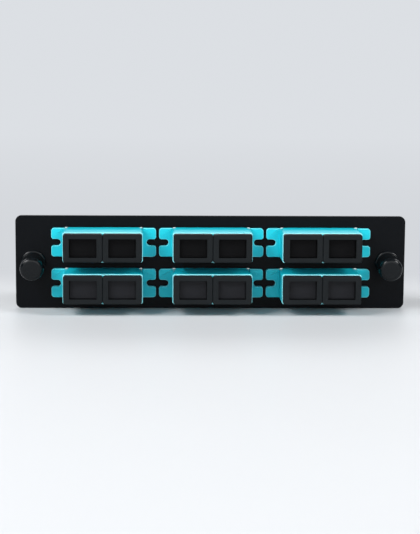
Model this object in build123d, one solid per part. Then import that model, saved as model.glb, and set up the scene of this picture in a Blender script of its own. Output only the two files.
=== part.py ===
from build123d import *
import os
from math import cos, radians, sin, tan

# Fibre adapter panel: a flat steel plate that carries six duplex adapters in three columns and
# two rows, a dust cap in every port, front and rear, and a push-pull fastener near each end.
# Frame: X to the right and Z up as the panel is seen from the front, Y away from the viewer.
# The origin is the centre of the plate's rear face, the face that seats on an enclosure.
# All sizes are in millimetres.

# Layout of the adapters on the plate
columns = 3
rows = 2
column_gap = 1.0             # between the flanges of neighbours in a row
row_gap = 4.14               # between the flanges of neighbours in a column
edge_margin = 3.98           # from the outer flanges to the plate's long edges
fastener_gap = 6.0           # from the outer flanges to the fasteners' centres
fastener_to_end = 5.95       # from the fasteners' centres to the plate's ends

# Plate
plate_thickness = 1.6
plate_corner = 2.0
plate_edge_round = 0.25
cutout_clearance = 0.15
cutout_corner = 0.4

# Adapter housing, two welded halves that meet in the middle of the flange
port_pitch = 12.7
port_width = 9.1
port_height = 7.5
port_corner = 0.3
side_wall = 2.1
top_wall = 1.17
half_length = 13.8           # from the joint plane to either open end
web_thickness = 2.2          # at the joint plane of each half
flange_thickness = 1.8
flange_ear = 4.35            # from the body's side to the flange's end
flange_drop = 0.17           # from the body's top down to the flange's top
flange_corner = 1.0
body_corner = 0.8
body_edge_round = 0.2
rear_step = 0.25             # the rear half is this much smaller on each side
notch_width = 2.2
notch_depth = 3.15
notch_lead = 0.8
key_width = 2.3
key_depth = 0.6
key_length = 5.0

# Latch holders and alignment sleeves inside the housing
holder_thickness = 1.0
holder_margin = 0.3          # the holder's plate is this much smaller than the port, each side
holder_clearance = 0.05
sleeve_outer = 3.2
sleeve_inner = 2.5
sleeve_length = 11.4
sleeve_slit = 0.4
sleeve_clearance = 0.06
tube_wall = 0.6
tube_lip = 0.45
tube_mouth = 2.7
arm_thickness = 0.8
arm_height = 2.8
arm_setback = 6.4            # from the open end to the tips of the arms
arm_hook = 0.5
arm_clearance = 0.15

# Spring clip, a bent steel sheet round the rear half
clip_sheet = 0.25
clip_groove = 0.3
clip_clearance = 0.05
clip_width = 5.0
clip_offset = 0.6            # from the plate's rear face to the clip's front edge
wing_height = 4.4
wing_reach = 1.3
wing_gap = 0.3
wing_slot = 0.3
leg_foot = 0.9               # the side legs end this far above the body's underside
tab_width = 0.8
tab_hook = 0.5

# Dust caps
cap_gap = 0.2                # the seam between the two caps of one adapter
cap_rim = 0.27               # housing left showing above and below a cap
cap_seat = 0.05
cap_head = 2.25
cap_corner = 0.8
cap_edge_round = 0.3
recess_width = 8.9
recess_height = 6.05
recess_depth = 1.7
recess_draft = 4.0
plug_clearance = 0.1
plug_wall = 0.6
plug_length = 7.0

# Push-pull fasteners
hole_clearance = 0.1
barrel_diameter = 4.8
barrel_length = 6.6          # behind the plate
bead_height = 0.2            # the bead that keeps the grommet in the plate
bead_length = 0.6
tip_length = 2.0             # tapered end of the barrel
tip_taper = 0.5
ring_diameter = 8.2
ring_thickness = 1.5
ring_round = 0.6
leg_slot = 0.5
leg_root = 0.8               # unslotted length of barrel behind the plate
knob_diameter = 7.8
knob_length = 8.3
knob_front_round = 1.25
knob_rear_round = 0.4
knob_running_gap = 0.3
shank_diameter = 2.6
shank_clearance = 0.05
shank_overhang = 0.6         # past the barrel's end when the plunger is pushed home
shank_point = 0.7
plunger_droop = 5.0          # degrees that the loose plunger hangs below square

# Sizes that follow from the ones above
body_width = port_pitch + port_width + 2 * side_wall
body_height = port_height + 2 * top_wall
rear_width = body_width - 2 * rear_step
rear_height = body_height - 2 * rear_step
flange_width = body_width + 2 * flange_ear
flange_height = body_height - 2 * flange_drop
column_pitch = flange_width + column_gap
row_pitch = flange_height + row_gap
fastener_x = (columns - 1) * column_pitch / 2 + flange_width / 2 + fastener_gap
plate_width = 2 * (fastener_x + fastener_to_end)
plate_height = (rows - 1) * row_pitch + flange_height + 2 * edge_margin
joint_y = -plate_thickness - flange_thickness / 2
hole_diameter = barrel_diameter + 2 * hole_clearance
plug_width = port_width - 2 * plug_clearance
plug_height = port_height - 2 * plug_clearance
arm_outer_x = plug_width / 2 - plug_wall - arm_clearance
arm_length = half_length - arm_setback
tube_bore = sleeve_outer + 2 * sleeve_clearance
tube_outer = tube_bore + 2 * tube_wall
tube_length = sleeve_length / 2 + sleeve_clearance + tube_lip
groove_z = rear_height / 2 - clip_groove
clip_floor_z = groove_z + clip_clearance
leg_x = rear_width / 2 - clip_groove + clip_clearance
tab_x = leg_x + clip_sheet - tab_width / 2


# Places: +Z of the local frame points out of the panel, to the front or to the rear
def facing_front(x, y, z):
    return Plane(origin=(x, y, z), x_dir=(1, 0, 0), z_dir=(0, -1, 0))


def facing_rear(x, y, z):
    return Plane(origin=(x, y, z), x_dir=(-1, 0, 0), z_dir=(0, 1, 0))


def adapter_places():
    """The middle of each adapter as (x, z), left to right, top row first."""
    places = []
    for row in range(rows):
        for column in range(columns):
            x = (column - (columns - 1) / 2) * column_pitch
            z = ((rows - 1) / 2 - row) * row_pitch
            places.append((x, z))
    return places


def port_offsets():
    return (-port_pitch / 2, port_pitch / 2)


# Plate
def panel_plate():
    outline = RectangleRounded(plate_width, plate_height, plate_corner)
    sheet = extrude(outline, plate_thickness)
    sheet = fillet(sheet.faces().filter_by(Axis.Z).edges(), plate_edge_round)
    cutout = RectangleRounded(
        rear_width + 2 * cutout_clearance, rear_height + 2 * cutout_clearance, cutout_corner
    )
    for x, z in adapter_places():
        sheet -= Pos(x, z) * extrude(cutout, plate_thickness)
    for side in (-1, 1):
        sheet -= Pos(side * fastener_x, 0) * extrude(Circle(hole_diameter / 2), plate_thickness)
    return facing_front(0, 0, 0) * sheet


# Housing halves, built with the joint plane at z = 0 and the open end at z = half_length
def flange_outline():
    outline = RectangleRounded(flange_width, flange_height, flange_corner)
    run = notch_depth - notch_width / 2
    for side in (-1, 1):
        mouth = Pos(side * (flange_width - run) / 2, 0) * Rectangle(run, notch_width)
        inner_end = Pos(side * (flange_width / 2 - run), 0) * Circle(notch_width / 2)
        outline -= mouth + inner_end
    entry = [
        corner
        for corner in outline.vertices()
        if abs(abs(corner.X) - flange_width / 2) < 0.01 and abs(abs(corner.Y) - notch_width / 2) < 0.01
    ]
    return fillet(entry, notch_lead)


def housing_cavities():
    """The ports, the key slots and the seats of the latch holders, as one cutting solid."""
    port_depth = half_length - web_thickness
    port = extrude(RectangleRounded(port_width, port_height, port_corner), port_depth)
    port = Pos(0, 0, web_thickness) * port
    key = Pos(0, port_height / 2, half_length - key_length / 2) * Box(key_width, 2 * key_depth, key_length)
    seat = Pos(0, 0, holder_thickness / 2) * Box(
        port_width - 2 * (holder_margin - holder_clearance),
        port_height - 2 * (holder_margin - holder_clearance),
        holder_thickness + 2 * holder_clearance,
    )
    window_width = 2 * (arm_outer_x + holder_clearance)
    window_height = tube_outer + 2 * holder_clearance
    window = Pos(0, 0, web_thickness / 2) * Box(window_width, window_height, web_thickness)
    one_port = port + key + seat + window
    return [Pos(x, 0) * one_port for x in port_offsets()]


def tab_slots():
    """Slots that let the clip's two tabs lie in the top of the housing and over the flange."""
    width = tab_width + 2 * clip_clearance
    front = flange_thickness / 2 + clip_sheet + 2 * clip_clearance
    back = -(flange_thickness / 2 + plate_thickness + clip_offset)
    top = body_height / 2 + clip_sheet
    slot = Pos(0, (groove_z + top) / 2, (front + back) / 2) * Box(width, top - groove_z, front - back)
    return [Pos(side * tab_x, 0) * slot for side in (-1, 1)]


def front_housing():
    body = extrude(RectangleRounded(body_width, body_height, body_corner), half_length)
    body = fillet(body.faces().sort_by(Axis.Z)[-1].outer_wire().edges(), body_edge_round)
    half = body + extrude(flange_outline(), flange_thickness / 2)
    return half - housing_cavities() - tab_slots()


def rear_housing():
    body = extrude(RectangleRounded(rear_width, rear_height, body_corner), half_length)
    body = fillet(body.faces().sort_by(Axis.Z)[-1].outer_wire().edges(), body_edge_round)
    half = body + extrude(flange_outline(), flange_thickness / 2)
    start = plate_thickness + flange_thickness / 2 + clip_offset - clip_clearance
    length = clip_width + 2 * clip_clearance
    band = Box(rear_width + 1, rear_height + 1, length)
    core = Box(rear_width - 2 * clip_groove, rear_height - 2 * clip_groove, length)
    base_strip = Pos(0, -rear_height / 2) * Box(rear_width - 2 * clip_groove, 2 * leg_foot, length)
    groove = Pos(0, 0, start + length / 2) * (band - core - base_strip)
    mirrored_slots = [Rot(0, 180, 0) * slot for slot in tab_slots()]
    return half - groove - housing_cavities() - mirrored_slots


# Latch holder: a plate clamped at the joint, a tube for the sleeve and two hooked arms
def latch_holder():
    plate = Pos(0, 0, holder_thickness / 2) * Box(
        port_width - 2 * holder_margin, port_height - 2 * holder_margin, holder_thickness
    )
    tube = extrude(Circle(tube_outer / 2), tube_length)
    holder = plate + tube
    for side in (-1, 1):
        arm = Pos(side * (arm_outer_x - arm_thickness / 2), 0, arm_length / 2) * Box(
            arm_thickness, arm_height, arm_length
        )
        inner_x = arm_outer_x - arm_thickness
        barb = Polygon(
            (inner_x, arm_length),
            (inner_x - arm_hook, arm_length - arm_hook),
            (inner_x, arm_length - 2 * arm_hook),
            align=None,
        )
        barb = Pos(0, arm_height / 2) * (Plane.XZ * extrude(barb, arm_height, dir=(0, 0, 1)))
        if side < 0:
            barb = mirror(barb, Plane.YZ)
        holder += [arm, barb]
    bore_length = sleeve_length / 2 + sleeve_clearance
    holder -= extrude(Circle(tube_bore / 2), bore_length)
    return holder - extrude(Circle(tube_mouth / 2), tube_length)


def alignment_sleeve():
    ring = Circle(sleeve_outer / 2) - Circle(sleeve_inner / 2)
    sleeve = Pos(0, 0, -sleeve_length / 2) * extrude(ring, sleeve_length)
    slit = Pos(0, sleeve_outer / 2) * Box(sleeve_slit, sleeve_outer, sleeve_length)
    return sleeve - slit


# Spring clip, in the frame of the rear half: x across, y up, z to the rear from the joint plane
def spring_clip():
    front = plate_thickness + flange_thickness / 2 + clip_offset
    back = front + clip_width
    top = clip_floor_z + clip_sheet
    foot = -rear_height / 2 + leg_foot + clip_clearance
    strap = Pos(0, (foot + top) / 2, (front + back) / 2) * Box(
        2 * (leg_x + clip_sheet), top - foot, clip_width
    )
    hollow = Pos(0, (foot + clip_floor_z) / 2 - 1, (front + back) / 2) * Box(
        2 * leg_x, clip_floor_z - foot + 2, clip_width
    )
    clip = strap - hollow
    window_length = clip_width - 3 * clip_sheet
    wing_front = plate_thickness + flange_thickness / 2 + wing_gap
    for side in (-1, 1):
        window = Pos(side * leg_x, 0, front + window_length / 2) * Box(
            4 * clip_sheet, wing_height + 2 * wing_slot, window_length
        )
        outline = Polygon(
            (leg_x, back),
            (leg_x + clip_sheet, back),
            (leg_x + clip_sheet + wing_reach, wing_front),
            (leg_x + wing_reach, wing_front),
            align=None,
        )
        wing = Pos(0, wing_height / 2) * (Plane.XZ * extrude(outline, wing_height, dir=(0, 0, 1)))
        if side < 0:
            wing = mirror(wing, Plane.YZ)
        clip = clip - window + wing
        tab_front = -flange_thickness / 2 - clip_clearance - clip_sheet
        tab = Pos(side * tab_x, clip_floor_z + clip_sheet / 2, (front + tab_front) / 2) * Box(
            tab_width, clip_sheet, front - tab_front
        )
        hook_height = clip_sheet + tab_hook
        hook = Pos(side * tab_x, clip_floor_z + hook_height / 2, tab_front + clip_sheet / 2) * Box(
            tab_width, hook_height, clip_sheet
        )
        clip += [tab, hook]
    return clip


# Dust cap: the head's rear face is at z = 0, the plug runs to -z
def dust_cap():
    head_width = port_pitch - cap_gap
    head_height = body_height - 2 * cap_rim
    head = extrude(RectangleRounded(head_width, head_height, cap_corner), cap_head)
    head = fillet(head.faces().sort_by(Axis.Z)[-1].edges(), cap_edge_round)
    recess = extrude(Rectangle(recess_width, recess_height), -recess_depth, taper=recess_draft)
    head -= Pos(0, 0, cap_head) * recess
    plug = Pos(0, 0, -plug_length) * extrude(Rectangle(plug_width, plug_height), plug_length)
    cavity = Pos(0, 0, -plug_length) * extrude(
        Rectangle(plug_width - 2 * plug_wall, plug_height - 2 * plug_wall), plug_length
    )
    return head + plug - cavity


# Fastener: the plate's front face is at z = 0, the knob stands at +z and the barrel at -z
def grommet():
    reach = plate_thickness + barrel_length
    outer = barrel_diameter / 2
    bead_start = -(plate_thickness + hole_clearance)
    profile = Polyline(
        (0, ring_thickness),
        (ring_diameter / 2, ring_thickness),
        (ring_diameter / 2, 0),
        (outer, 0),
        (outer, bead_start),
        (outer + bead_height, bead_start - bead_length / 2),
        (outer, bead_start - bead_length),
        (outer, tip_length - reach),
        (outer - tip_taper, -reach),
        (0, -reach),
        close=True,
    )
    turned = revolve(Plane.XZ * make_face(profile), Axis.Z)
    rim = turned.edges().filter_by(GeomType.CIRCLE).group_by(Axis.Z)[-1]
    turned = fillet(rim, ring_round)
    guide = ring_thickness + reach
    bore = shank_diameter / cos(radians(plunger_droop)) + guide * tan(radians(plunger_droop))
    bore += 2 * shank_clearance
    turned -= Pos(0, 0, -reach) * extrude(Circle(bore / 2), guide)
    slot_length = barrel_length - leg_root
    slot = Pos(0, 0, -reach + slot_length / 2) * Box(leg_slot, 4 * outer, slot_length)
    return turned - Rot(0, 0, 45) * slot - Rot(0, 0, 135) * slot


def plunger():
    """Built about its own axis, with the knob's rear face at z = 0."""
    radius = knob_diameter / 2
    knob = extrude(Circle(radius), knob_length)
    knob = fillet(knob.edges().group_by(Axis.Z)[-1], knob_front_round)
    knob = fillet(knob.edges().group_by(Axis.Z)[0], knob_rear_round)
    shank = Pos(0, 0, -shank_length) * extrude(Circle(shank_diameter / 2), shank_length)
    shank = chamfer(shank.edges().group_by(Axis.Z)[0], shank_point)
    return knob + shank


knob_gap = knob_diameter / 2 * tan(radians(plunger_droop)) + knob_running_gap
shank_length = knob_gap + ring_thickness + plate_thickness + barrel_length + shank_overhang


def plunger_place(x):
    """The plunger turns down about the middle of the grommet's bore and keeps its axis there."""
    guide_middle = (ring_thickness - plate_thickness - barrel_length) / 2
    droop = radians(plunger_droop)
    outward = (0, -cos(droop), -sin(droop))
    lead = ring_thickness + knob_gap - guide_middle
    pivot_y = -plate_thickness - guide_middle
    origin = (x, pivot_y + lead * outward[1], lead * outward[2])
    return Plane(origin=origin, x_dir=(1, 0, 0), z_dir=outward)


# Pieces, each written to a file of its own
pieces = {"panel_plate": panel_plate()}
front_half = front_housing()
rear_half = rear_housing()
holder = latch_holder()
sleeve = alignment_sleeve()
clip = spring_clip()
cap = dust_cap()

for number, (x, z) in enumerate(adapter_places(), start=1):
    to_front = facing_front(x, joint_y, z)
    to_rear = facing_rear(x, joint_y, z)
    pieces[f"front_housing_{number}"] = to_front * front_half
    pieces[f"rear_housing_{number}"] = to_rear * rear_half
    pieces[f"spring_clip_{number}"] = to_rear * clip
    holders = [place * (Pos(offset, 0) * holder) for place in (to_front, to_rear) for offset in port_offsets()]
    pieces[f"latch_holders_{number}"] = Compound(children=holders)
    sleeves = [to_front * (Pos(offset, 0) * sleeve) for offset in port_offsets()]
    pieces[f"alignment_sleeves_{number}"] = Compound(children=sleeves)
    for index, offset in enumerate(port_offsets()):
        port_number = 2 * number - 1 + index
        seat = half_length + cap_seat
        pieces[f"front_cap_{port_number}"] = to_front * (Pos(offset, 0, seat) * cap)
        pieces[f"rear_cap_{port_number}"] = to_rear * (Pos(-offset, 0, seat) * cap)

for name, side in (("left", -1), ("right", 1)):
    pieces[f"grommet_{name}"] = facing_front(side * fastener_x, -plate_thickness, 0) * grommet()
    pieces[f"plunger_{name}"] = plunger_place(side * fastener_x) * plunger()

os.makedirs("parts", exist_ok=True)
for name, shape in pieces.items():
    export_step(shape, f"parts/{name}.step")
print(f"plate {plate_width:.2f} x {plate_height:.2f}, {len(pieces)} pieces")
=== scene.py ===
import bmesh
import bpy
from math import cos, radians, sin
from mathutils import Matrix, Vector


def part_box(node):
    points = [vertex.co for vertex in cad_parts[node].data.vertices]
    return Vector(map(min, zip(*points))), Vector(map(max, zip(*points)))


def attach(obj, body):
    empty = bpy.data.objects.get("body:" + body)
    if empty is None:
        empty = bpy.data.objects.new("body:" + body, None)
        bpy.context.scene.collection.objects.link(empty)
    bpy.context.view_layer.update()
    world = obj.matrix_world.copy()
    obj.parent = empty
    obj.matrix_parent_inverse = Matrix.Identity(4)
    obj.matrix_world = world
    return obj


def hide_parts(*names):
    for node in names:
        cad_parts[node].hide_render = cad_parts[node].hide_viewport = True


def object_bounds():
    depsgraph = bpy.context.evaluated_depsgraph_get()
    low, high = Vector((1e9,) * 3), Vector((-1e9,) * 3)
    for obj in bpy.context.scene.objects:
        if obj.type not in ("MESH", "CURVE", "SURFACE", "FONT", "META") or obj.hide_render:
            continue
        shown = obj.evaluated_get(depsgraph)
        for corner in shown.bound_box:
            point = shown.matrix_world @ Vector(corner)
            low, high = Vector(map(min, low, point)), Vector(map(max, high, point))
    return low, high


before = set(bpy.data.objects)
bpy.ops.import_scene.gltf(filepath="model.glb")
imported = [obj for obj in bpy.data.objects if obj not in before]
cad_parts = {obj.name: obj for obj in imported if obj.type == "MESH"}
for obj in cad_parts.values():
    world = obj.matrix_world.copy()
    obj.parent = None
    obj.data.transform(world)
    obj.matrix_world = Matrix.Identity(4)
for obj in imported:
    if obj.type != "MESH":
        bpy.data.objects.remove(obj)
cad_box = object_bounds()


# Plate: one sheet of steel, punched and deburred, with a satin black powder coat.
# The coat has the fine peel of baked powder and is a little glossier where it flowed.
class Wire:
    """One output of a node. Sums on it add Math nodes, and node() adds any other node."""

    def __init__(self, tree, socket=None):
        self.tree = tree
        self.socket = socket

    def node(self, kind, settings=None, inputs=None, output=0):
        made = self.tree.nodes.new(kind)
        for name, value in (settings or {}).items():
            setattr(made, name, value)
        for name, value in (inputs or {}).items():
            if isinstance(value, Wire):
                self.tree.links.new(value.socket, made.inputs[name])
            else:
                made.inputs[name].default_value = value
        return Wire(self.tree, made.outputs[output] if made.outputs else None)

    def math(self, operation, *values):
        return self.node("ShaderNodeMath", {"operation": operation}, dict(enumerate(values)))

    def __add__(self, other):
        return self.math("ADD", self, other)

    def __mul__(self, other):
        return self.math("MULTIPLY", self, other)

    def __sub__(self, other):
        return self.math("SUBTRACT", self, other)

    def __rsub__(self, other):
        return self.math("SUBTRACT", other, self)

    def __abs__(self):
        return self.math("ABSOLUTE", self)

    __radd__ = __add__
    __rmul__ = __mul__


def new_finish(name):
    """An empty material, with a wire that its nodes are added to."""
    material = bpy.data.materials.new(name)
    material.use_nodes = True
    material.node_tree.nodes.clear()
    return material, Wire(material.node_tree)


def place_on_part(finish, scale=(1, 1, 1)):
    """Object coordinates. A grain runs out along an axis with a scale below 1."""
    place = finish.node("ShaderNodeTexCoord", output="Object")
    return finish.node("ShaderNodeMapping", inputs={"Vector": place, "Scale": scale})


def along_axis(finish, place, axis):
    return finish.node("ShaderNodeSeparateXYZ", inputs={"Vector": place}, output=axis)


def grain(finish, place, size, detail=2.0):
    """Noise from 0 to 1 whose grains are about that many metres across."""
    return finish.node("ShaderNodeTexNoise", inputs={"Vector": place, "Scale": 1 / size, "Detail": detail})


def bumps(finish, strength, distance, height):
    return finish.node("ShaderNodeBump", inputs={
        "Strength": strength, "Distance": distance, "Height": height,
    })


def mixed(finish, share, first, second):
    return finish.node("ShaderNodeMix", {"data_type": "RGBA"}, {0: share, 6: first, 7: second}, output=2)


def show(finish, surface):
    finish.node("ShaderNodeOutputMaterial", inputs={"Surface": surface})


def dress(node, material):
    """A CAD node keeps its mesh and takes this finish."""
    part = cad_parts[node]
    part.data.materials.clear()
    part.data.materials.append(material)


def powder_coat():
    material, finish = new_finish("black_powder_coat")
    place = place_on_part(finish)
    peel = grain(finish, place, 0.0009, 3.0)
    grit = grain(finish, place, 0.00022)
    drift = grain(finish, place, 0.03)
    colour = mixed(finish, drift, (0.0012, 0.0017, 0.0026, 1), (0.0022, 0.0028, 0.0038, 1))
    show(finish, finish.node("ShaderNodeBsdfPrincipled", inputs={
        "Base Color": colour,
        "Roughness": 0.28 + peel * 0.10,
        "Specular IOR Level": 0.065,
        "Normal": bumps(finish, 0.35, 0.00004, peel * 0.7 + grit * 0.3),
    }))
    return material


dress("panel_plate", powder_coat())


# Adapter housings: front and rear halves moulded in aqua PBT, welded in the middle of the flange.
# Every edge leaves the mould slightly rounded, so each half is built again here with soft edges.
# The outer edges and the rims of the mouths are painted paler, a painted highlight for the light that
# rounded edges catch.
def merged_copy(node, name, centre):
    """A CAD node's mesh with its triangles joined, moved so that centre is at the origin."""
    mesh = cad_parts[node].data.copy()
    mesh.name = name
    edit = bmesh.new()
    edit.from_mesh(mesh)
    bmesh.ops.remove_doubles(edit, verts=edit.verts, dist=1e-6)
    bmesh.ops.dissolve_limit(edit, angle_limit=radians(1), verts=edit.verts, edges=edit.edges)
    bmesh.ops.translate(edit, verts=edit.verts, vec=-Vector(centre))
    edit.to_mesh(mesh)
    edit.free()
    mesh.materials.clear()
    return mesh


def adapter_grid():
    """Geometry nodes that repeat one piece in columns and rows, and give its flats a finish."""
    tree = bpy.data.node_groups.new("adapter_grid", "GeometryNodeTree")
    tree.interface.new_socket("Piece", in_out="INPUT", socket_type="NodeSocketGeometry")
    for name in ("Columns", "Rows"):
        tree.interface.new_socket(name, in_out="INPUT", socket_type="NodeSocketInt")
    for name in ("Column Pitch", "Row Pitch"):
        tree.interface.new_socket(name, in_out="INPUT", socket_type="NodeSocketFloat")
    tree.interface.new_socket("Finish", in_out="INPUT", socket_type="NodeSocketMaterial")
    tree.interface.new_socket("Array", in_out="OUTPUT", socket_type="NodeSocketGeometry")
    build = Wire(tree)
    given = {socket.name: Wire(tree, socket) for socket in tree.nodes.new("NodeGroupInput").outputs}
    sites = build.node("GeometryNodeMeshGrid", inputs={
        "Size X": (given["Columns"] - 1) * given["Column Pitch"],
        "Size Y": (given["Rows"] - 1) * given["Row Pitch"],
        "Vertices X": given["Columns"],
        "Vertices Y": given["Rows"],
    })
    upright = build.node("GeometryNodeTransform", inputs={
        "Geometry": sites, "Rotation": (radians(90), 0, 0),
    })
    pieces = build.node("GeometryNodeInstanceOnPoints", inputs={
        "Points": upright, "Instance": given["Piece"],
    })
    solid = build.node("GeometryNodeRealizeInstances", inputs={"Geometry": pieces})
    flats = 1 - build.node("GeometryNodeInputMaterialIndex")
    dressed = build.node("GeometryNodeSetMaterial", inputs={
        "Geometry": solid, "Selection": flats, "Material": given["Finish"],
    })
    build.node("NodeGroupOutput", inputs={"Array": dressed})
    return tree


def middle_of(node):
    low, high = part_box(node)
    return (low + high) / 2


adapter_columns = 3
adapter_rows = 2
adapter_count = adapter_columns * adapter_rows
first_middle = middle_of("front_housing_1")
column_pitch = middle_of("front_housing_2").x - first_middle.x
row_pitch = first_middle.z - middle_of(f"front_housing_{1 + adapter_columns}").z
grid_nodes = adapter_grid()
flat_index = 0
edge_index = 1


def plain_inner_corners(mesh):
    """Only outer edges carry the painted highlight, so a rounded inner corner gets the plain finish back."""
    edit = bmesh.new()
    edit.from_mesh(mesh)
    for facet in edit.faces:
        if sum(edge.calc_face_angle_signed(0) for edge in facet.edges) < 0:
            facet.material_index = flat_index
    edit.to_mesh(mesh)
    edit.free()


def repeated(name, node, edge_round, material, edge_material):
    """One piece with soft edges, repeated at every adapter, which stands for those CAD nodes."""
    mesh = merged_copy(f"{node}_1", name, (first_middle.x, 0, first_middle.z))
    mesh.materials.append(material)
    mesh.materials.append(edge_material)
    piece = bpy.data.objects.new(name, mesh)
    bpy.context.scene.collection.objects.link(piece)
    bevel = piece.modifiers.new("edges", "BEVEL")
    bevel.width = edge_round
    bevel.segments = 3
    bevel.limit_method = "ANGLE"
    bevel.angle_limit = radians(35)
    bevel.use_clamp_overlap = False
    bevel.harden_normals = True
    bevel.material = edge_index
    array = piece.modifiers.new("array", "NODES")
    array.node_group = grid_nodes
    values = {
        "Columns": adapter_columns, "Rows": adapter_rows,
        "Column Pitch": column_pitch, "Row Pitch": row_pitch, "Finish": material,
    }
    for socket in grid_nodes.interface.items_tree:
        if socket.name in values:
            array[socket.identifier] = values[socket.name]
    graph = bpy.context.evaluated_depsgraph_get()
    solid = bpy.data.meshes.new_from_object(piece.evaluated_get(graph))
    plain_inner_corners(solid)
    piece.modifiers.clear()
    piece.data = solid
    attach(piece, "panel")
    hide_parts(*[f"{node}_{number}" for number in range(1, adapter_count + 1)])


front_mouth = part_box("front_housing_1")[0].y
rear_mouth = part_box("rear_housing_1")[1].y
weld_plane = (front_mouth + rear_mouth) / 2
mouth_distance = (rear_mouth - front_mouth) / 2
body_half_width = 0.0130
body_half_height = 0.00492
highlight_band_width = 0.00028
highlight_band_fade = 0.0002
rim_width = 0.0005
rim_fade = 0.0001
# Painted highlight colour for the rims of the mouths.
rim_highlight_aqua = (0.24, 0.65, 0.71, 1)
housing_edge_round = 0.00016


def painted_rim_highlight(finish, place):
    """1 at the outer rims of the mouths, on the walls and on the face, where the painted highlight goes."""
    at_mouth = finish.node("ShaderNodeMapRange", inputs={
        "Value": abs(along_axis(finish, place, "Y") - weld_plane),
        "From Min": mouth_distance - highlight_band_width,
        "From Max": mouth_distance - highlight_band_width + highlight_band_fade,
    })
    in_column = finish.math("WRAP", along_axis(finish, place, "X"), column_pitch / 2, -column_pitch / 2)
    in_row = abs(along_axis(finish, place, "Z")) - row_pitch / 2
    inset = finish.math("MINIMUM", body_half_width - abs(in_column), body_half_height - abs(in_row))
    at_rim = finish.node("ShaderNodeMapRange", inputs={
        "Value": inset, "From Min": rim_width, "From Max": rim_width - rim_fade,
    })
    return at_mouth * at_rim


def aqua_plastic(name, dark, light, roughness, specular):
    """The moulded aqua, with streaks where it flowed into the mould, and a painted highlight at the mouth
    rims.
    """
    material, finish = new_finish(name)
    place = place_on_part(finish)
    flow = grain(finish, place_on_part(finish, (1, 0.25, 1)), 0.006, 3.0)
    texture = grain(finish, place, 0.00018)
    moulded = mixed(finish, flow, dark, light)
    show(finish, finish.node("ShaderNodeBsdfPrincipled", inputs={
        # The base colour carries a painted highlight: paler aqua at the rims of the mouths.
        "Base Color": mixed(finish, painted_rim_highlight(finish, place), moulded, rim_highlight_aqua),
        "Roughness": roughness + flow * 0.1,
        "Specular IOR Level": specular,
        "Normal": bumps(finish, 0.25, 0.00002, texture),
    }))
    return material


aqua = aqua_plastic("aqua_pbt", (0.003, 0.41, 0.50, 1), (0.006, 0.46, 0.55, 1), 0.34, 0.2)
# Painted highlight: the bevel faces of every outer edge take this paler, glossier copy of the aqua.
aqua_edge_highlight = aqua_plastic("aqua_pbt_painted_edge_highlight", (0.10, 0.56, 0.63, 1), (0.15, 0.60, 0.67, 1), 0.30, 0.4)
for half in ("front", "rear"):
    repeated(f"{half}_shells", f"{half}_housing", housing_edge_round, aqua, aqua_edge_highlight)


# Latch holders and sleeves: natural white PBT arms that grip a plug, and split sleeves of
# zirconia that line its ferrule up. They sit inside the ports, behind the caps.
def holder_plastic():
    material, finish = new_finish("white_pbt")
    place = place_on_part(finish)
    cloud = grain(finish, place, 0.004)
    texture = grain(finish, place, 0.0002)
    show(finish, finish.node("ShaderNodeBsdfPrincipled", inputs={
        "Base Color": mixed(finish, cloud, (0.62, 0.61, 0.56, 1), (0.72, 0.71, 0.67, 1)),
        "Roughness": 0.4 + cloud * 0.1,
        "Normal": bumps(finish, 0.2, 0.00002, texture),
    }))
    return material


def zirconia():
    material, finish = new_finish("white_zirconia")
    place = place_on_part(finish, (1, 0.1, 1))
    lapping = grain(finish, place, 0.0004)
    show(finish, finish.node("ShaderNodeBsdfPrincipled", inputs={
        "Base Color": mixed(finish, lapping, (0.78, 0.76, 0.70, 1), (0.84, 0.83, 0.79, 1)),
        "Roughness": 0.1 + lapping * 0.1,
        "IOR": 2.1,
    }))
    return material


holder_white = holder_plastic()
sleeve_white = zirconia()
for number in range(1, adapter_count + 1):
    dress(f"latch_holders_{number}", holder_white)
    dress(f"alignment_sleeves_{number}", sleeve_white)


# Spring clips: bent from thin stainless strip, snapped round the rear half from above. Two hooks
# come through the flange to its front, and two wings press on the back of the plate.
def clip_metal():
    material, finish = new_finish("clip_stainless")
    rolled = grain(finish, place_on_part(finish, (1, 12, 1)), 0.0012, 4.0)
    smudge = grain(finish, place_on_part(finish), 0.003)
    show(finish, finish.node("ShaderNodeBsdfPrincipled", inputs={
        "Base Color": mixed(finish, smudge, (0.58, 0.59, 0.58, 1), (0.68, 0.69, 0.68, 1)),
        "Metallic": 1.0,
        "Roughness": 0.34 + rolled * 0.16,
        "Normal": bumps(finish, 0.15, 0.00001, rolled),
    }))
    return material


clip_edge_round = 0.00003
stainless = clip_metal()
repeated("clip_set", "spring_clip", clip_edge_round, stainless, stainless)


# Dust caps: soft black polyethylene, one moulding for each port, front and rear, with a satin
# frame and a smoother recess. The recess walls are painted near black as painted shade, and the
# recess floors come as a shaded copy in the upper row and a lit copy in the lower row. The two caps
# of an adapter nearly touch, so each head is drawn out here at the seam between them and a little
# more at its outer side.
ports = 2 * adapter_count
cap_seam_growth = 0.00008
cap_side_growth = 0.00018
cap_head_inner = 0.0048
cap_recess_depth = 0.0017
cap_recess_half_width = 0.0046
cap_recess_half_height = 0.0031
face_tolerance = 0.0001


def cap_skin(name, dark, light, roughness, specular):
    material, finish = new_finish(name)
    place = place_on_part(finish)
    spark = grain(finish, place, 0.00016, 3.0)
    cloud = grain(finish, place, 0.005)
    show(finish, finish.node("ShaderNodeBsdfPrincipled", inputs={
        "Base Color": mixed(finish, cloud, (*dark, 1), (*light, 1)),
        "Roughness": roughness + spark * 0.1,
        "Specular IOR Level": specular,
        "Normal": bumps(finish, 0.25, 0.00003, spark),
    }))
    return material


cap_frame = cap_skin("cap_frame", (0.0024, 0.0040, 0.0052), (0.0036, 0.0054, 0.0066), 0.5, 0.14)
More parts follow.
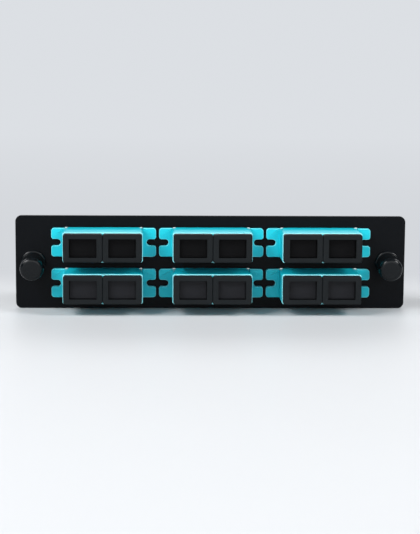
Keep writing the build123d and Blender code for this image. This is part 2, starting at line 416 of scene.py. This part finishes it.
# Painted shade and light: the recess floor is a darker shaded copy for the upper row and a paler lit copy
# for the lower row.
shaded_upper_floor = cap_skin("cap_floor_shaded_upper", (0.0030, 0.0031, 0.0035), (0.0040, 0.0041, 0.0046), 0.4, 0.03)
lit_lower_floor = cap_skin("cap_floor_lit_lower", (0.0085, 0.0090, 0.0112), (0.0105, 0.0112, 0.0134), 0.4, 0.08)
# Painted shade: the recess walls are near black where shade falls inside the recess.
shaded_cap_wall = cap_skin("shaded_cap_wall", (0.0008, 0.0009, 0.0010), (0.0014, 0.0015, 0.0016), 0.6, 0.02)


def dust_cap(side, number, face_y, outward):
    """A cap with its head drawn out sideways, and a skin of its own for each part of the face: the frame, a
    recess floor painted lit or shaded by row, and walls painted dark as shade.
    """
    node = f"{side}_cap_{number}"
    middle = middle_of(node)
    mesh = merged_copy(node, f"{side}_dust_cap_{number}", (0, 0, 0))
    away_from_seam = 1 if number % 2 == 0 else -1
    for point in mesh.vertices:
        offset = (point.co.x - middle.x) * away_from_seam
        if offset > cap_head_inner:
            point.co.x += cap_side_growth * away_from_seam
        elif offset < -cap_head_inner:
            point.co.x -= cap_seam_growth * away_from_seam
    # Painted shade: the upper row's recess floors take the shaded copy, the lower row's the lit one.
    floor = shaded_upper_floor if middle.z > 0 else lit_lower_floor
    for skin in (cap_frame, floor, shaded_cap_wall):
        mesh.materials.append(skin)
    for facet in mesh.polygons:
        depth = (face_y - facet.center.y) * outward
        inside = (
            abs(facet.center.x - middle.x) < cap_recess_half_width
            and abs(facet.center.z - middle.z) < cap_recess_half_height
        )
        if inside and abs(depth - cap_recess_depth) < face_tolerance:
            skin = floor
        elif inside and face_tolerance < depth < cap_recess_depth:
            skin = shaded_cap_wall
        else:
            skin = cap_frame
        facet.material_index = mesh.materials.find(skin.name)
    piece = bpy.data.objects.new(mesh.name, mesh)
    bpy.context.scene.collection.objects.link(piece)
    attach(piece, node)
    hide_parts(node)


for side, outward in (("front", -1), ("rear", 1)):
    low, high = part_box(f"{side}_cap_1")
    face_y = low.y if outward < 0 else high.y
    for number in range(1, ports + 1):
        dust_cap(side, number, face_y, outward)


# Fasteners: a nylon grommet snapped into each end of the plate, and a plunger through it that
# spreads the grommet's legs. Both are turned smooth by the mould, with a low natural gloss.
def nylon():
    material, finish = new_finish("black_nylon")
    place = place_on_part(finish)
    skin = grain(finish, place, 0.0006)
    cloud = grain(finish, place, 0.004)
    show(finish, finish.node("ShaderNodeBsdfPrincipled", inputs={
        "Base Color": mixed(finish, cloud, (0.0032, 0.0042, 0.0052, 1), (0.0046, 0.0058, 0.0068, 1)),
        "Roughness": 0.13 + skin * 0.08,
        "Specular IOR Level": 0.17,
        "Normal": bumps(finish, 0.15, 0.00002, skin),
    }))
    return material


fastener_nylon = nylon()
for side in ("left", "right"):
    dress(f"grommet_{side}", fastener_nylon)
    dress(f"plunger_{side}", fastener_nylon)


# Table: a pale glossy top that runs on into a light backdrop a little way behind the panel and
# far out on every side. The backdrop shows its own brightness to the camera and in reflections,
# and the table keeps the panel's shadow.
table_z = cad_box[0].z
table_reach = 4.0
backdrop_start = 0.012
backdrop_end = 0.085
surround_start = 0.35
surround_end = 0.9
paper_near = 0.2
paper_far = 0.9
near_paper = (0.658, 0.680, 0.713, 1)
far_paper = (0.716, 0.741, 0.776, 1)


def lights_only(shade):
    """1 for rays that only light the set, 0 for those that the camera sees, also in gloss or glass."""
    seen = [
        shade.node("ShaderNodeLightPath", output=f"Is {kind} Ray")
        for kind in ("Camera", "Glossy", "Transmission")
    ]
    return (1 - seen[0]) * (1 - seen[1]) * (1 - seen[2])


def fade(finish, value, start, end):
    """A smooth step from 0 at start to 1 at end."""
    return finish.node("ShaderNodeMapRange", {"interpolation_type": "SMOOTHSTEP"}, {
        "Value": value, "From Min": start, "From Max": end,
    })


def table_top():
    material, finish = new_finish("pale_table")
    place = place_on_part(finish)
    along = along_axis(finish, place, "Y")
    behind = fade(finish, along, backdrop_start, backdrop_end)
    reach = finish.node("ShaderNodeVectorMath", {"operation": "LENGTH"}, {0: place}, output="Value")
    away = fade(finish, reach, surround_start, surround_end)
    backdrop = 1 - (1 - behind) * (1 - away)
    cloud = grain(finish, place, 0.05)
    lit = finish.node("ShaderNodeBsdfPrincipled", inputs={
        "Base Color": mixed(finish, cloud, (0.483, 0.497, 0.515, 1), (0.493, 0.507, 0.525, 1)),
        "Roughness": 0.45,
        "Specular IOR Level": 0.12,
    })
    distance = finish.node("ShaderNodeMapRange", inputs={
        "Value": along, "From Min": paper_near, "From Max": paper_far,
    })
    paper = mixed(finish, distance, near_paper, far_paper)
    glow = finish.node("ShaderNodeEmission", inputs={"Color": paper, "Strength": 1.0})
    show(finish, finish.node("ShaderNodeMixShader", inputs={
        0: backdrop * (1 - lights_only(finish)), 1: lit, 2: glow,
    }))
    return material


table_mesh = bpy.data.meshes.new("table")
corners = [(-1, -1), (1, -1), (1, 1), (-1, 1)]
table_mesh.from_pydata([(table_reach * x, table_reach * y, table_z) for x, y in corners], [], [(0, 1, 2, 3)])
table_mesh.materials.append(table_top())
table = bpy.data.objects.new("table", table_mesh)
bpy.context.scene.collection.objects.link(table)


# Light: two softboxes at the left, one at the right, a high and a low wide one in front and a
# low one behind, in a dim room whose far wall is as pale as the backdrop.
def softbox(name, place, width, height, power):
    """A lamp that faces the panel."""
    lamp = bpy.data.lights.new(name, "AREA")
    lamp.shape = "RECTANGLE"
    lamp.size = width
    lamp.size_y = height
    lamp.energy = power
    holder = bpy.data.objects.new(name, lamp)
    holder.location = place
    holder.rotation_euler = (-Vector(place)).to_track_quat("-Z", "Y").to_euler()
    bpy.context.scene.collection.objects.link(holder)


softbox("left_front_box", (-0.85, -0.80, 0.95), 0.6, 0.6, 18.5)
softbox("left_side_box", (-1.10, -0.25, 0.85), 0.6, 0.6, 10.0)
softbox("right_side_box", (1.00, -0.55, 0.85), 0.5, 0.5, 16.0)
softbox("front_high_box", (0, -1.80, 1.00), 3.2, 1.8, 14.0)
softbox("front_low_box", (0, -2.20, 0.44), 3.2, 0.8, 23.0)
softbox("rear_box", (0, 1.00, 0.60), 1.6, 0.4, 6.0)

dim_room = (0.015, 0.016, 0.018, 1)
far_wall_start = 0.2
far_wall_end = 0.9
light_held_back = 0.9
world = bpy.data.worlds.new("studio")
world.use_nodes = True
world.node_tree.nodes.clear()
room = Wire(world.node_tree)
direction = room.node("ShaderNodeTexCoord", output="Generated")
share = room.node("ShaderNodeMapRange", inputs={
    "Value": along_axis(room, direction, "Y"), "From Min": far_wall_start, "From Max": far_wall_end,
})
room_colour = mixed(room, share, dim_room, far_paper)
from_camera = room.node("ShaderNodeLightPath", output="Is Camera Ray")
air = room.node("ShaderNodeBackground", inputs={
    "Color": mixed(room, from_camera, room_colour, far_paper),
    "Strength": 1 - lights_only(room) * light_held_back,
})
room.node("ShaderNodeOutputWorld", inputs={"Surface": air})
bpy.context.scene.world = world


# Camera: a little above and to the left of the panel's middle, with a long lens. It leans by a
# fraction of a degree, and its lengths are in metres apart from the lens and sensor.
yaw = radians(2.20)
pitch = radians(8.30)
roll = radians(0.42)
camera_distance = 0.5379
aim = Vector((-0.0003, -0.0016, -0.0016))
focal_length = 108.5
sensor_width = 36
nearest_seen = 0.01

forward = Vector((sin(yaw) * cos(pitch), cos(yaw) * cos(pitch), -sin(pitch)))
level = forward.cross(Vector((0, 0, 1))).normalized()
above = level.cross(forward)
right = cos(roll) * level + sin(roll) * above
up = cos(roll) * above - sin(roll) * level
camera = bpy.data.cameras.new("camera")
camera.lens = focal_length
camera.sensor_width = sensor_width
camera.clip_start = nearest_seen
viewpoint = bpy.data.objects.new("camera", camera)
viewpoint.location = aim - forward * camera_distance
viewpoint.rotation_euler = Matrix((right, up, -forward)).transposed().to_euler()
bpy.context.scene.collection.objects.link(viewpoint)
bpy.context.scene.camera = viewpoint
bpy.context.scene.view_settings.view_transform = "Standard"
